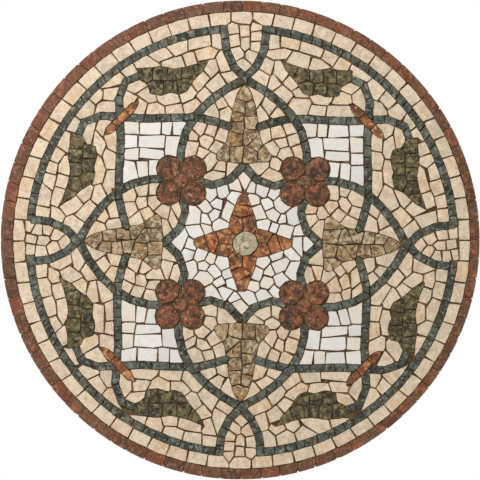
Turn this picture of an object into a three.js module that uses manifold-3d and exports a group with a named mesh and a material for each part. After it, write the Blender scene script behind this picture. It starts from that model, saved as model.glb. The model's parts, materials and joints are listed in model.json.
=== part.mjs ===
import * as THREE from "three";
import { mergeVertices } from "three/addons/utils/BufferGeometryUtils.js";
import Module from "manifold-3d";

// A round wall panel of laid stone tesserae on a thin setting bed.
// It is drawn face up, with X to the right, Y up the panel and Z out of the face,
// and then stood upright: its back is the plane Y = 0 and its stones face -Y.
// Lengths are in millimetres.

// Driving dimensions
const PANEL_DIAMETER = 600;
const BED_THICKNESS = 3;
const BED_INSET = 1.5;
const SEAT_GAP = 0.3;
const STONE_THICKNESS = 8;
const JOINT = 1.2;
const GROOVE_WIDTH = 1.8;
const GROOVE_DEPTH = 2.4;
const BORDER_WIDTH = 12.8;
const BORDER_STONES = 76;
const CREAM_RING_WIDTH = 14.3;
const BAND_WIDTH = 8.6;
const BAND_FACET_LENGTH = 23;
const PETAL_CONTACT = 0.3;

// The hand-laid pattern sits a little off the middle of the disc and is turned clockwise
const PATTERN_SHIFT_X = 3.1;
const PATTERN_SHIFT_Y = -3.9;
const PATTERN_TURN = -0.75;
const RING_SHIFT_X = 2.3;
const RING_SHIFT_Y = -0.9;
// The inner edge of the border is a little off the middle too
const BORDER_SHIFT_X = 1.8;
const BORDER_SHIFT_Y = -0.2;

// How far a cut runs past the solid that it cuts, and how far a groove's cut stands out of the face
const CUT_MARGIN = 1;
const GROOVE_RISE = 0.2;
// Points of a facet closer than this are one point
const MERGE_TOLERANCE = 1e-4;

// Facet counts of round shapes
const BED_SIDES = 60;
const PETAL_SIDES = 12;
const FLOWER_CENTRE_SIDES = 8;
const CENTRE_STONE_SIDES = 12;
const RING_SIDES = 52;
const RING_WINDOW_SIDES = 10;
// Sharp corners of a widened outline reach this many times the distance at most
const CORNER_REACH = 1.6;

// Roughness of tumbled stone, of polished stone and of the adhesive
const TUMBLED = 0.6;
const POLISHED = 0.5;
const SANDY = 0.95;

const COLOURS = {
  bed: 0x8d6f49,
  red: 0x7d4a34,
  cream: 0xdcc8a8,
  white: 0xefe9dd,
  green: 0x474e47,
  olive: 0x4d4833,
  ochre: 0xa58c60,
  orange: 0xa55c38,
  petal: 0x774832,
  star: 0xa2582f,
  centre: 0xb9b190,
};

// Radii and heights that follow from the driving dimensions
const panelRadius = PANEL_DIAMETER / 2;
const borderInner = panelRadius - BORDER_WIDTH;
const creamOuter = borderInner - JOINT;
const creamInner = creamOuter - CREAM_RING_WIDTH;
const ringOuter = creamInner - JOINT;
const ringRadius = ringOuter - BAND_WIDTH / 2;
const stoneBase = BED_THICKNESS + SEAT_GAP;
const face = stoneBase + STONE_THICKNESS;

// The pattern's plan has its origin in the star and is drawn in the photograph's pixels.
// The corner where a loop leaves the green ring sets the plan's scale.
const RING_CORNER = [21, 211];
const planRingRadius = Math.hypot(...RING_CORNER);
const planScale = ringRadius / planRingRadius;

// Middle lines of the green bands in the upper right quarter of the plan
const LOOP_PATH = [
  [-RING_CORNER[0], RING_CORNER[1]], [-20.8, 200], [-14, 180], [0, 164.5], [20, 152.3], [40, 136.5],
  [50, 124.5], [58.2, 110], [63, 90], [63.5, 74],
];
const CROSS_PATH = [[8, 114], [20, 117.5], [30, 121.4], [40, 124], [60, 124.5], [100, 122.8], [121.5, 124]];
const TAIL_PATH = [[123.5, 124], [140, 125.2], [150, 124.2], [160, 118.5], [167, 107], [167, 102]];
const SCALLOP_PATH = [[49.5, 62.6], [34, 57.7], [22, 58.3], [12, 64.5], [5, 72.5], [0, 77.5]];

// Outlines of the figures in the upper right quarter of the plan
const LEAF_OUTLINE = [
  [35.5, 183], [50, 177], [60, 174], [70, 172.5], [86, 175], [92, 173.5], [107, 172.5], [105, 162],
  [96, 157], [94, 148.5], [83, 146.5], [73, 150], [66, 148], [58, 151], [52, 161], [42, 172],
];
const SPEAR_SIDE = [
  [0, 158], [6.5, 150], [11, 135], [13.5, 120], [16, 105], [17.5, 100], [27, 88], [27, 84], [24, 82], [5, 80],
];
const STAR_ARM = [[49, 0], [47, 4], [38, 7], [25, 12], [14, 14]];
const FLOWER_CENTRE = [61.5, 62];
const PETAL_OFFSET = 12.3;
const FLOWER_CENTRE_SHARE = 0.57;
const CENTRE_STONE_SHARE = 0.9;
const CENTRE_STONE_PLACE = [2.7, -0.4];
const DART_CENTRE = [122.7, 122.7];
const DART_SIDE = [[24.4, 0], [17.5, 3.5]];
const DART_JOINT = 8;
const WEDGE_END = [21, 222];

// Clock hours of the eight mirrored copies, and words for the quarters and the four sides
const OCTANT_HOURS = [1, 2, 10, 11, 7, 8, 4, 5];
const QUARTERS = ["upper_right", "upper_left", "lower_left", "lower_right"];
const SIDES = ["top", "left", "bottom", "right"];

const wasm = await Module();
wasm.setup();

// Solids and cuts

function toSolid(geometry) {
  const bare = geometry.clone();
  bare.deleteAttribute("normal");
  bare.deleteAttribute("uv");
  const merged = mergeVertices(bare, MERGE_TOLERANCE);
  return new wasm.Manifold(new wasm.Mesh({
    numProp: 3,
    vertProperties: new Float32Array(merged.attributes.position.array),
    triVerts: new Uint32Array(merged.index.array),
  }));
}

function toGeometry(solid) {
  const mesh = solid.getMesh();
  const geometry = new THREE.BufferGeometry();
  geometry.setAttribute("position", new THREE.BufferAttribute(new Float32Array(mesh.vertProperties), 3));
  geometry.setIndex(new THREE.BufferAttribute(new Uint32Array(mesh.triVerts), 1));
  geometry.computeVertexNormals();
  return geometry;
}

function prism(points, bottom, top) {
  const shape = new THREE.Shape(points.map(([x, y]) => new THREE.Vector2(x, y)));
  const geometry = new THREE.ExtrudeGeometry(shape, { depth: top - bottom, bevelEnabled: false });
  geometry.translate(0, 0, bottom);
  return toSolid(geometry);
}

const stone = (points) => prism(points, stoneBase, face);
const cutter = (points) => prism(points, stoneBase - CUT_MARGIN, face + CUT_MARGIN);
const joined = (solids) => solids.reduce((whole, solid) => whole.add(solid));
const without = (solid, cutters) => cutters.reduce((rest, cut) => rest.subtract(cut), solid);

// A V-shaped groove in the face, at a point and along a direction
function groove([x, y], angle, length) {
  const spread = (GROOVE_WIDTH / 2) * (1 + GROOVE_RISE / GROOVE_DEPTH);
  const section = new THREE.Shape([
    new THREE.Vector2(-spread, GROOVE_RISE),
    new THREE.Vector2(0, -GROOVE_DEPTH),
    new THREE.Vector2(spread, GROOVE_RISE),
  ]);
  const geometry = new THREE.ExtrudeGeometry(section, { depth: length, bevelEnabled: false });
  geometry.translate(0, 0, -length / 2);
  geometry.rotateX(Math.PI / 2);
  geometry.rotateZ(angle);
  geometry.translate(x, y, face);
  return toSolid(geometry);
}

// Plan points and their mirrored copies

const scaled = (points) => points.map(([u, v]) => [u * planScale, v * planScale]);

function turned([x, y], quarter) {
  const cos = [1, 0, -1, 0][quarter];
  const sin = [0, 1, 0, -1][quarter];
  return [x * cos - y * sin, x * sin + y * cos];
}

// Copy 0 is the plan itself and copy 1 its mirror image in the diagonal; each quarter turn adds two
function copied(points, octant) {
  const mirrored = octant % 2 === 1 ? points.map(([x, y]) => [y, x]) : points;
  return mirrored.map((point) => turned(point, Math.floor(octant / 2)));
}

const everyOctant = [0, 1, 2, 3, 4, 5, 6, 7];
const everyQuarter = [0, 1, 2, 3];

function circle([x, y], radius, sides) {
  const step = (2 * Math.PI) / sides;
  return Array.from({ length: sides }, (_, i) => [
    x + radius * Math.cos(i * step),
    y + radius * Math.sin(i * step),
  ]);
}

// Pushes each corner of an outline outwards, so that each side moves out by the distance
function widened(points, distance) {
  const sense = Math.sign(THREE.ShapeUtils.area(points.map(([x, y]) => ({ x, y }))));
  return points.map(([x, y], i) => {
    const [px, py] = points.at(i - 1);
    const [nx, ny] = points[(i + 1) % points.length];
    const before = new THREE.Vector2(y - py, px - x).normalize();
    const after = new THREE.Vector2(ny - y, x - nx).normalize();
    const corner = before.clone().add(after);
    const reach = Math.min(2 / corner.lengthSq(), CORNER_REACH);
    return [x + sense * distance * corner.x * reach, y + sense * distance * corner.y * reach];
  });
}

// Bands

function stations(curve) {
  const count = Math.max(2, Math.round(curve.getLength() / BAND_FACET_LENGTH));
  return Array.from({ length: count + 1 }, (_, i) => {
    const at = curve.getPointAt(i / count);
    const along = curve.getTangentAt(i / count);
    return { at, along };
  });
}

const splineOf = (points) => new THREE.SplineCurve(points.map(([x, y]) => new THREE.Vector2(x, y)));

// Both sides of a band, half its width from its middle line, and run on at both ends
function bandOutline(marks, halfWidth, runOn) {
  const ends = new Map([[0, -runOn], [marks.length - 1, runOn]]);
  const side = (sign) => marks.map(({ at, along }, i) => {
    const push = ends.get(i) ?? 0;
    return [
      at.x + along.x * push - sign * along.y * halfWidth,
      at.y + along.y * push + sign * along.x * halfWidth,
    ];
  });
  return [...side(1), ...side(-1).reverse()];
}

// One band: its strip of stones, and the cutter that keeps a joint clear round it
function band(curve) {
  const marks = stations(curve);
  return {
    strip: stone(bandOutline(marks, BAND_WIDTH / 2, 0)),
    clearance: cutter(bandOutline(marks, BAND_WIDTH / 2 + JOINT, JOINT)),
  };
}

const bandCopies = (path) => everyOctant.map((octant) => band(splineOf(copied(scaled(path), octant))));

// The green ring has its own centre, seen from the pattern's
const patternTurn = THREE.MathUtils.degToRad(PATTERN_TURN);

function inPattern(x, y) {
  const point = new THREE.Vector2(x - PATTERN_SHIFT_X, y - PATTERN_SHIFT_Y);
  point.rotateAround(new THREE.Vector2(0, 0), -patternTurn);
  return [point.x, point.y];
}

const borderCentre = inPattern(BORDER_SHIFT_X, BORDER_SHIFT_Y);
const ringCentre = inPattern(RING_SHIFT_X, RING_SHIFT_Y);

function ringArc(quarter) {
  const corner = Math.atan2(RING_CORNER[0], RING_CORNER[1]) - BAND_WIDTH / 2 / ringRadius;
  const start = corner + (quarter * Math.PI) / 2;
  const end = start + Math.PI / 2 - 2 * corner;
  return new THREE.EllipseCurve(ringCentre[0], ringCentre[1], ringRadius, ringRadius, start, end);
}

const loops = bandCopies(LOOP_PATH);
const crosses = bandCopies(CROSS_PATH);
const tails = bandCopies(TAIL_PATH);
const scallops = bandCopies(SCALLOP_PATH);
const ringArcs = everyQuarter.map((quarter) => band(ringArc(quarter)));
const bands = [...loops, ...crosses, ...tails, ...scallops, ...ringArcs];
const bandClearance = joined(bands.map(({ clearance }) => clearance));

// Figures: each outline gives the stone and the cutter that keeps a joint clear round it

function figure(points) {
  return { solid: stone(points), clearance: cutter(widened(points, JOINT)) };
}

const acrossV = ([u, v]) => [-u, v];
const acrossDiagonal = ([u, v]) => [v, u];

const spearOutline = scaled([...SPEAR_SIDE, ...SPEAR_SIDE.slice(1).reverse().map(acrossV)]);
const leaves = everyOctant.map((octant) => figure(copied(scaled(LEAF_OUTLINE), octant)));
const spears = everyQuarter.map((quarter) => figure(copied(spearOutline, 2 * quarter)));

function starOutline() {
  const arm = scaled(STAR_ARM);
  const nextArm = arm.slice(1, -1).reverse().map(acrossDiagonal);
  return everyQuarter.flatMap((quarter) => copied([...arm, ...nextArm], 2 * quarter));
}

const star = figure(starOutline());

// The round centre stone reaches nearly to the star's waists, and lies a little off the middle
const centreRadius = STAR_ARM.at(-1)[0] * planScale * CENTRE_STONE_SHARE;
const [centrePlace] = scaled([CENTRE_STONE_PLACE]);
const centreStone = {
  solid: stone(circle(centrePlace, centreRadius, CENTRE_STONE_SIDES)),
  clearance: cutter(circle(centrePlace, centreRadius + JOINT, CENTRE_STONE_SIDES)),
};

// A dart of three stones lies along the falling diagonal, over the crossing of two bands
function dart(quarter) {
  const [cx, cy] = scaled([DART_CENTRE])[0];
  const place = ([s, t]) => [cx + (s + t) * Math.SQRT1_2, cy + (t - s) * Math.SQRT1_2];
  const [tip, shoulder] = scaled(DART_SIDE);
  const half = [tip, shoulder, [-shoulder[0], shoulder[1]]];
  const outline = [...half, ...half.map(([s, t]) => [-s, -t])];
  const { solid, clearance } = figure(copied(outline.map(place), 2 * quarter));
  const angle = -Math.PI / 4 + (quarter * Math.PI) / 2;
  const joints = scaled([[DART_JOINT, 0], [-DART_JOINT, 0]]).map(place);
  const grooves = copied(joints, 2 * quarter).map((at) => groove(at, angle, 2 * shoulder[1] + JOINT));
  return { solid: without(solid, grooves), clearance };
}

const darts = everyQuarter.map(dart);

// Four round petals that touch each other and close in on the round stone between them
function flower(quarter) {
  const middle = copied(scaled([FLOWER_CENTRE]), 2 * quarter)[0];
  const reach = PETAL_OFFSET * planScale;
  const petalRadius = reach + PETAL_CONTACT;
  const centreRound = reach * FLOWER_CENTRE_SHARE;
  const petals = everyQuarter.map((turn) => {
    const [dx, dy] = turned([reach, reach], turn);
    return [middle[0] + dx, middle[1] + dy];
  });
  const rounds = (petal, centre) => [
    ...petals.map((at) => circle(at, petal, PETAL_SIDES)),
    circle(middle, centre, FLOWER_CENTRE_SIDES),
  ];
  return {
    solid: joined(rounds(petalRadius, centreRound).map(stone)),
    clearance: joined(rounds(petalRadius + JOINT, reach).map(cutter)),
  };
}

const flowers = everyQuarter.map(flower);
const figures = [...leaves, ...spears, ...darts, ...flowers, star, centreStone];
const figureClearance = joined(figures.map(({ clearance }) => clearance));

// Fields: each is drawn along the middle lines of the bands round it, and what the bands
// and the figures keep clear is cut away

const cuspSide = LOOP_PATH.slice(0, 3).map(acrossV);
const loopUpper = LOOP_PATH.slice(3, 7);
const loopLower = LOOP_PATH.slice(7).reverse();
const crossInner = CROSS_PATH.slice(0, 4).reverse();
const crossEnd = [0, CROSS_PATH[0][1]];
const crossing = [TAIL_PATH[0][1], TAIL_PATH[0][1]];

function leafWindow() {
  const half = [...cuspSide, ...loopUpper, crossing];
  const ring = Array.from({ length: RING_WINDOW_SIDES - 1 }, (_, i) => {
    const angle = ((i + 1) * Math.PI) / 2 / RING_WINDOW_SIDES;
    return [planRingRadius * Math.cos(angle), planRingRadius * Math.sin(angle)];
  });
  return [...half, ...half.slice(0, -1).reverse().map(acrossDiagonal), ...ring];
}

const spearWindow = [...loopUpper, ...crossInner, crossEnd];
const scallopWindow = [
  ...SCALLOP_PATH.slice(0, -1).reverse(), ...loopLower, loopUpper.at(-1), ...crossInner, crossEnd,
];
const cornerHalf = [FLOWER_CENTRE, ...loopLower, loopUpper.at(-1), crossing];
const cornerWindow = [...cornerHalf, ...cornerHalf.slice(1, -1).reverse().map(acrossDiagonal)];
const centreQuarter = [
  ...[...SCALLOP_PATH].reverse().map(acrossDiagonal), FLOWER_CENTRE, ...SCALLOP_PATH.slice(0, -1),
];
const centreWindow = everyQuarter.flatMap((quarter) => copied(centreQuarter, 2 * quarter));
const cardinalSide = [loopUpper[0], ...[...cuspSide].reverse(), WEDGE_END];
const cardinalWindow = [...cardinalSide, ...cardinalSide.slice(1).reverse().map(acrossV)];

function field(window, octant) {
  return without(stone(copied(scaled(window), octant)), [bandClearance, figureClearance]);
}

// Rings

function borderRing() {
  return stone(circle([0, 0], panelRadius, BORDER_STONES))
    .subtract(cutter(circle([BORDER_SHIFT_X, BORDER_SHIFT_Y], borderInner, BORDER_STONES)));
}

// The cream ring and the four cream wedges that run in from it, between the bands' cusps
function creamRing() {
  const ring = stone(circle(borderCentre, creamOuter, RING_SIDES))
    .subtract(cutter(circle(ringCentre, creamInner, RING_SIDES)));
  const wedges = everyQuarter.map((quarter) => field(cardinalWindow, 2 * quarter));
  return joined([ring, ...wedges]);
}

function bed() {
  return prism(circle([0, 0], panelRadius - BED_INSET, BED_SIDES), 0, BED_THICKNESS);
}

// Bands as pieces

const figureCut = (parts) => joined(parts.map(({ strip }) => strip)).subtract(figureClearance);
const interlace = figureCut([...loops, ...crosses, ...ringArcs]);
const tailPair = (quarter) => figureCut([tails[2 * quarter], tails[2 * quarter + 1]]);
const scallop = (side) => figureCut([scallops[2 * side], scallops[(2 * side + 3) % 8]]);

// The scene graph

function piece(name, solid, color, roughness = TUMBLED) {
  const material = new THREE.MeshStandardMaterial({ color, roughness, metalness: 0, flatShading: true });
  const mesh = new THREE.Mesh(toGeometry(solid), material);
  mesh.name = name;
  return mesh;
}

const pattern = new THREE.Group();
pattern.position.set(PATTERN_SHIFT_X, PATTERN_SHIFT_Y, 0);
pattern.rotation.z = patternTurn;
pattern.add(piece("cream_ring", creamRing(), COLOURS.cream));
pattern.add(piece("interlace", interlace, COLOURS.green));
pattern.add(piece("white_centre_field", field(centreWindow, 0), COLOURS.white));
pattern.add(piece("star", star.solid.subtract(centreStone.clearance), COLOURS.star));
pattern.add(piece("centre_stone", centreStone.solid, COLOURS.centre, POLISHED));

everyQuarter.forEach((quarter) => {
  const corner = QUARTERS[quarter];
  const side = SIDES[quarter];
  pattern.add(piece(`leaf_field_${corner}`, field(leafWindow(), 2 * quarter), COLOURS.cream));
  pattern.add(piece(`white_corner_field_${corner}`, field(cornerWindow, 2 * quarter), COLOURS.white));
  pattern.add(piece(`leaf_stem_${corner}`, tailPair(quarter), COLOURS.green));
  pattern.add(piece(`flower_${corner}`, flowers[quarter].solid, COLOURS.petal));
  pattern.add(piece(`dart_${corner}`, darts[quarter].solid, COLOURS.orange));
  pattern.add(piece(`spear_${side}`, spears[quarter].solid.subtract(bandClearance), COLOURS.ochre));
  pattern.add(piece(`scallop_band_${side}`, scallop(quarter), COLOURS.green));
});

everyOctant.forEach((octant) => {
  const hour = OCTANT_HOURS[octant];
  pattern.add(piece(`leaf_${hour}_oclock`, leaves[octant].solid, COLOURS.olive, POLISHED));
  pattern.add(piece(`spear_field_${hour}_oclock`, field(spearWindow, octant), COLOURS.cream));
  pattern.add(piece(`scallop_field_${hour}_oclock`, field(scallopWindow, octant), COLOURS.cream));
});

const upright = new THREE.Group();
upright.rotation.x = Math.PI / 2;
upright.add(piece("setting_bed", bed(), COLOURS.bed, SANDY));
upright.add(piece("border_ring", borderRing(), COLOURS.red));
upright.add(pattern);

const panel = new THREE.Group();
panel.add(upright);

export default panel;
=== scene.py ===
import json
import math

import bpy
import numpy as np
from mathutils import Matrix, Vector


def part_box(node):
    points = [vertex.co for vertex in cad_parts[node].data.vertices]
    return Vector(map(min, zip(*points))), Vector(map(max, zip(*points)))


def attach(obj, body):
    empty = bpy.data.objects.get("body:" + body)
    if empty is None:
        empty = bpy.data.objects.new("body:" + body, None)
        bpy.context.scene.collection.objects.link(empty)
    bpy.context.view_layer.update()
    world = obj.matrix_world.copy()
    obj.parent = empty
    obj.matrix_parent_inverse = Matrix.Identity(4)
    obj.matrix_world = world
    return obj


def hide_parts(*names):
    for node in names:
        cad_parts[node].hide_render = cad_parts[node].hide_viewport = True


bl_info = {
    "name": "Round stone mosaic",
    "version": (1, 0, 0),
    "blender": (4, 5, 0),
    "location": "View3D > Sidebar > Mosaic",
    "description": "Lays the cut stones, the setting bed and the net of a round wall mosaic",
    "category": "Add Mesh",
}

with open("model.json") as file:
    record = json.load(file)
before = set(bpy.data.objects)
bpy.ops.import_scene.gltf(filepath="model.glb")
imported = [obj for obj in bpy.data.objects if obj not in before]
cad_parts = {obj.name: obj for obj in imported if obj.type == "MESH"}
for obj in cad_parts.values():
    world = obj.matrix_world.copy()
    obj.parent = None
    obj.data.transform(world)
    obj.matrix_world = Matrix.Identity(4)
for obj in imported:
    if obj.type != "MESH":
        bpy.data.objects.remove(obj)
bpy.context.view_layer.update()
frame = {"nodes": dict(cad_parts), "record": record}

# The panel stands upright: X to the right, Z up, and the stones face -Y. Lengths are in metres.
MILLIMETRE = 0.001
FACE = -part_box("border_ring")[0].y
BED_TOP = -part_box("setting_bed")[0].y
PANEL_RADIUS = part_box("border_ring")[1].x
BED_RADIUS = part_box("setting_bed")[1].x

# The photograph is 480 pixels square and the disc is 479.2 pixels across in it
PHOTO_SIDE = 480
DISC_PIXELS = 479.2
PHOTO_PIXEL = 2 * PANEL_RADIUS / DISC_PIXELS
DISC_CENTRE_PIXEL = (240.2, 240.0)

# The flat plan on which stones are laid out: one cell of the fine grid, and how many make a coarse one
CELL = 0.5 * MILLIMETRE
COARSE = 2
GRID = 2 * math.ceil(PANEL_RADIUS / CELL / COARSE + 4) * COARSE

# Each stone's outline is looked at along many rays, and the sharpest point of each group is kept
RAYS = 128
OUTLINE_POINTS = 16
RAY_ANGLES = np.arange(RAYS) * 2 * math.pi / RAYS
# The cosine past which a ray runs too far sideways for a straight side to cut it
SIDEWAYS = 0.05
# How close stones come to the rim of the solids, the narrowest place that gets a stone of its own,
# and what stays free on each side of the line along which a wide gap is shared out
RIM_SLACK = 0.1 * MILLIMETRE
NARROWEST = 2.4 * MILLIMETRE
GAP_KEPT = 0.8 * MILLIMETRE
# A course takes one more stone while a point of it is this share of a stone away from all others
FREE_SHARE = 0.67
# In cells: how far stones reach past the middles of their outer cells, the nearest that a side may
# come to a stone's middle, and the mean reach under which a stone is left out
OUTWARD = 0.5 + 0.2 * MILLIMETRE / CELL
NEAREST_SIDE = 0.8
SMALLEST_STONE = 2.2
# Every how many rays the hull of a stone's cells is taken
HULL_STEP = 4
# How far a side turns away from its joint's line, usually and at most, in radians, and the longest
# joint, in cells, that makes more room for that turn
SIDE_TURN = 0.06
LARGEST_SIDE_TURN = 0.14
LONGEST_TURNED = 14
# The fewest places where two stones' cells meet that make a joint
FEWEST_MEETINGS = 5
# How much later than its sides a rectangle's corners are claimed, and how many of its sizes away a
# site looks for cells
CORNER_LOSS = 0.03
CLAIM_REACH = 1.3
# Empty cells kept round a node's part of the coarse grid
MARGIN = 4
# The circle that takes off a nibbled stone's corners, as a share of its radius
ROUNDING = 1.1
# How many chips a stone's edge can have
CHIPS = 3
# How high a stone's foot is, and its rings from there up: how much of the arris a ring lies inside
# the outline, how much of the chips it loses, and how much of the arris it lies below the top
STONE_FOOT = BED_TOP + 0.35 * MILLIMETRE
STONE_RINGS = ((0, 0, None), (0.1, 0.5, 1.0), (1.0, 1.0, 0.0))
# The rings and spokes of the adhesive's disc
BED_RINGS = 150
BED_SPOKES = 360


def middle_of(node):
    """The middle of a node's box in the plan, as (x, z)."""
    low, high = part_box(node)
    return np.array([(low.x + high.x) / 2, (low.z + high.z) / 2])


# The listed pattern has its own middle, scale and turn. Its places are written in the pixels of
# the photograph, from the middle of the star, and the flower gives the scale and the turn.
PATTERN_MIDDLE = middle_of("star")
FLOWER_PLACE = (61.5, 62.0)
FLOWER_REACH = middle_of("flower_upper_right") - PATTERN_MIDDLE
PATTERN_PIXEL = math.hypot(*FLOWER_REACH) / math.hypot(*FLOWER_PLACE)
PATTERN_TURN = math.atan2(FLOWER_REACH[1], FLOWER_REACH[0]) - math.atan2(FLOWER_PLACE[1], FLOWER_PLACE[0])

# Where the middles of the figures' stones lie, in pattern pixels. The star's arm points right, the
# spear points up, the leaf is the one at one o'clock and the dart crosses the upper right corner.
STAR_ARM_STONES = [(43, 0), (32.5, -1), (20.5, 6.2), (20.5, -6.5)]
SPEAR_STONES = [
    (0, 151), (-4.5, 135), (4.5, 133), (-5.5, 125.5), (6, 120), (-6, 115.5), (6.5, 108), (-7, 104.5),
    (8, 99), (-7.5, 90), (8, 89.5), (-21.5, 88.5), (21.5, 87.5),
]
LEAF_STONES = [
    (45, 176), (58, 168), (71, 166.5), (85, 167), (99, 167), (61, 155.5), (74, 154), (88, 153),
]
DART_STONES = [(107, 138), (122.7, 122.7), (138, 107)]
# Each stone of a white corner: its middle, its length and its width
WHITE_CORNER_STONES = [
    (113, 113, 16, 14), (94, 113, 20, 13), (77, 113, 10, 14), (64, 113, 14, 13), (113, 100, 12, 15),
    (92, 100, 26, 13), (71, 95, 15, 21), (113, 86, 12, 12), (92, 87, 25, 11), (113, 72, 14, 16),
    (101, 73, 11, 14), (90, 76, 11, 13),
]
# How far a petal's cuts lie from its middle, in pattern pixels, and as shares of that the flower's
# round centre and the flats towards the centre and towards the next petals
PETAL_REACH = 12.3
HEART_SHARE = 0.56
INNER_FLAT_SHARE = 0.6
SIDE_FLAT_SHARE = 0.92
SIDE_FLAT_TURN = 0.785
# The side of a figure's stone in pattern pixels, and how far it strays from its place
FIGURE_STONE = 13.5
FIGURE_STRAY = 0.9

QUARTERS = ("upper_right", "upper_left", "lower_left", "lower_right")
SIDES = ("top", "left", "bottom", "right")
# Even octants turn the plan by quarters and odd ones mirror it in the diagonal first
OCTANT_HOURS = (1, 2, 10, 11, 7, 8, 4, 5)

# How wide and long the stones of bands and fields are
BAND_WIDTH = 8.6 * MILLIMETRE
WEDGE_STONE = (12.5 * MILLIMETRE, 15 * MILLIMETRE)
LEAF_FIELD_STONE = (13.5 * MILLIMETRE, 22 * MILLIMETRE)
SMALL_FIELD_STONE = (12.5 * MILLIMETRE, 17 * MILLIMETRE)
WHITE_CENTRE_STONE = (13.5 * MILLIMETRE, 16.5 * MILLIMETRE)

# Where the random draws of each kind of stone start
SEEDS = {
    "rings": 7, "border_ring": 11, "cream_ring": 12, "bands": 100, "leaves": 200, "spears": 220, "darts": 240,
    "flowers": 250, "star": 260, "centre_stone": 261, "leaf_fields": 300, "small_fields": 320,
    "white_corners": 350, "white_centre": 370,
}

# The stage in metres, and how strongly its sky and its floor shine
CAMERA_DISTANCE = 6.0
FLOOR_REACH = 10.0
FLOOR_LEVEL = -0.9
FLOOR_GLOW = 0.4
SKY_STRENGTH = 0.36


def length_setting(name, description, millimetres):
    """A length that a user may change, given in millimetres and kept in metres."""
    default = millimetres * MILLIMETRE
    return bpy.props.FloatProperty(name=name, description=description, default=default, unit="LENGTH")


def colour_setting(name, description, *linear):
    """A colour that a user may change, as red, green and blue in linear light."""
    return bpy.props.FloatVectorProperty(name=name, description=description, default=linear, subtype="COLOR")


class MosaicSizes(bpy.types.PropertyGroup):
    """Sizes of the cut stones and of the adhesive between them."""

    joint: length_setting("Joint", "Gap between two stones of one field", 1.5)
    thin_joint: length_setting("Thin joint", "Gap between two stones of a band or figure", 1.0)
    border_joint: length_setting("Border joint", "Gap between two stones of the edge", 0.3)
    drop: length_setting("Drop", "How far a stone may sit below the face", 0.5)
    tilt: bpy.props.FloatProperty(name="Tilt", description="Usual slope of a stone's face", default=0.035)
    arris: length_setting("Arris", "Width of the worn edge of a stone", 0.3)
    joint_depth: length_setting("Joint depth", "Depth of the adhesive below the face", 2.3)
    band_stone: length_setting("Band stone", "Length of a stone in the green bands", 15.5)
    border_stones: bpy.props.IntProperty(
        name="Border stones", description="How many stones the red border has", default=76)
    ring_stones: bpy.props.IntProperty(
        name="Ring stones", description="How many stones the cream ring has", default=66)
    net_pitch: length_setting("Net pitch", "Distance between the net's threads", 8)
    net_thread: length_setting("Net thread", "Width of a thread of the net", 1.1)


class MosaicColours(bpy.types.PropertyGroup):
    """Middle colours of the stones and of the adhesive, in linear light."""

    cream: colour_setting("Cream", "Cream limestone", 0.87, 0.725, 0.55)
    white: colour_setting("White", "White marble", 0.95, 0.93, 0.9)
    red: colour_setting("Red", "Red brown marble of the edge", 0.18, 0.075, 0.036)
    green: colour_setting("Green", "Dark green marble", 0.075, 0.085, 0.07)
    olive: colour_setting("Olive", "Dark olive stone of the leaves", 0.098, 0.075, 0.038)
    ochre: colour_setting("Ochre", "Ochre stone of the spears", 0.4, 0.28, 0.13)
    orange: colour_setting("Orange", "Orange brown marble of the darts", 0.27, 0.105, 0.045)
    star: colour_setting("Star", "Orange marble of the star", 0.32, 0.115, 0.04)
    petal: colour_setting("Petal", "Mottled marble of the petals", 0.17, 0.065, 0.033)
    centre: colour_setting("Centre", "Pale speckled stone", 0.5, 0.42, 0.28)
    adhesive: colour_setting("Adhesive", "Tan setting adhesive", 0.15, 0.085, 0.035)
    net: colour_setting("Net", "Glass-fibre net on the back", 0.62, 0.6, 0.55)


# Plan of the panel on a grid

def node_outline_edges(node):
    """The edges of a node's flat back, as pairs of (x, z) points: its faces that point along +Y."""
    mesh = frame["nodes"][node].data
    mesh.calc_loop_triangles()
    count = len(mesh.loop_triangles)
    corners = np.empty(count * 3, np.int32)
    normals = np.empty(count * 3, np.float32)
    mesh.loop_triangles.foreach_get("vertices", corners)
    mesh.loop_triangles.foreach_get("normal", normals)
    points = np.empty(len(mesh.vertices) * 3, np.float32)
    mesh.vertices.foreach_get("co", points)
    points = points.reshape(-1, 3)[:, [0, 2]].astype(float)
    back = corners.reshape(-1, 3)[normals.reshape(-1, 3)[:, 1] > 0.9]
    pairs = np.concatenate([back[:, [0, 1]], back[:, [1, 2]], back[:, [2, 0]]])
    return points[pairs]


def filled(edges):
    """The grid cells inside a set of edges: each edge toggles the cells to its right in the rows it
    crosses, and an edge shared by two triangles toggles twice, so only the outline counts."""
    grid = (edges + GRID * CELL / 2) / CELL - 0.5
    (start_x, start_z), (end_x, end_z) = grid[:, 0].T, grid[:, 1].T
    downward = (start_z > end_z) | ((start_z == end_z) & (start_x > end_x))
    low = np.where(downward[:, None], grid[:, 1], grid[:, 0])
    high = np.where(downward[:, None], grid[:, 0], grid[:, 1])
    first = np.ceil(low[:, 1]).astype(int)
    rows = np.ceil(high[:, 1]).astype(int) - first
    edge = np.repeat(np.arange(len(rows)), rows)
    row = np.arange(rows.sum()) - np.repeat(np.cumsum(rows) - rows, rows) + first[edge]
    rise = high[edge, 1] - low[edge, 1]
    x = low[edge, 0] + (row - low[edge, 1]) / rise * (high[edge, 0] - low[edge, 0])
    toggles = np.zeros((GRID, GRID + 1), np.int32)
    np.add.at(toggles, (row, np.clip(np.ceil(x).astype(int), 0, GRID)), 1)
    return np.cumsum(toggles, axis=1)[:, :GRID] % 2 == 1


def edges_of(regions):
    """The cells that have another region's cell below, above, left or right of them."""
    edge = np.zeros(regions.shape, bool)
    for first, second in (((slice(None, -1),), (slice(1, None),)),
                          ((slice(None), slice(None, -1)), (slice(None), slice(1, None)))):
        change = regions[first] != regions[second]
        edge[first] |= change
        edge[second] |= change
    return edge


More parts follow.
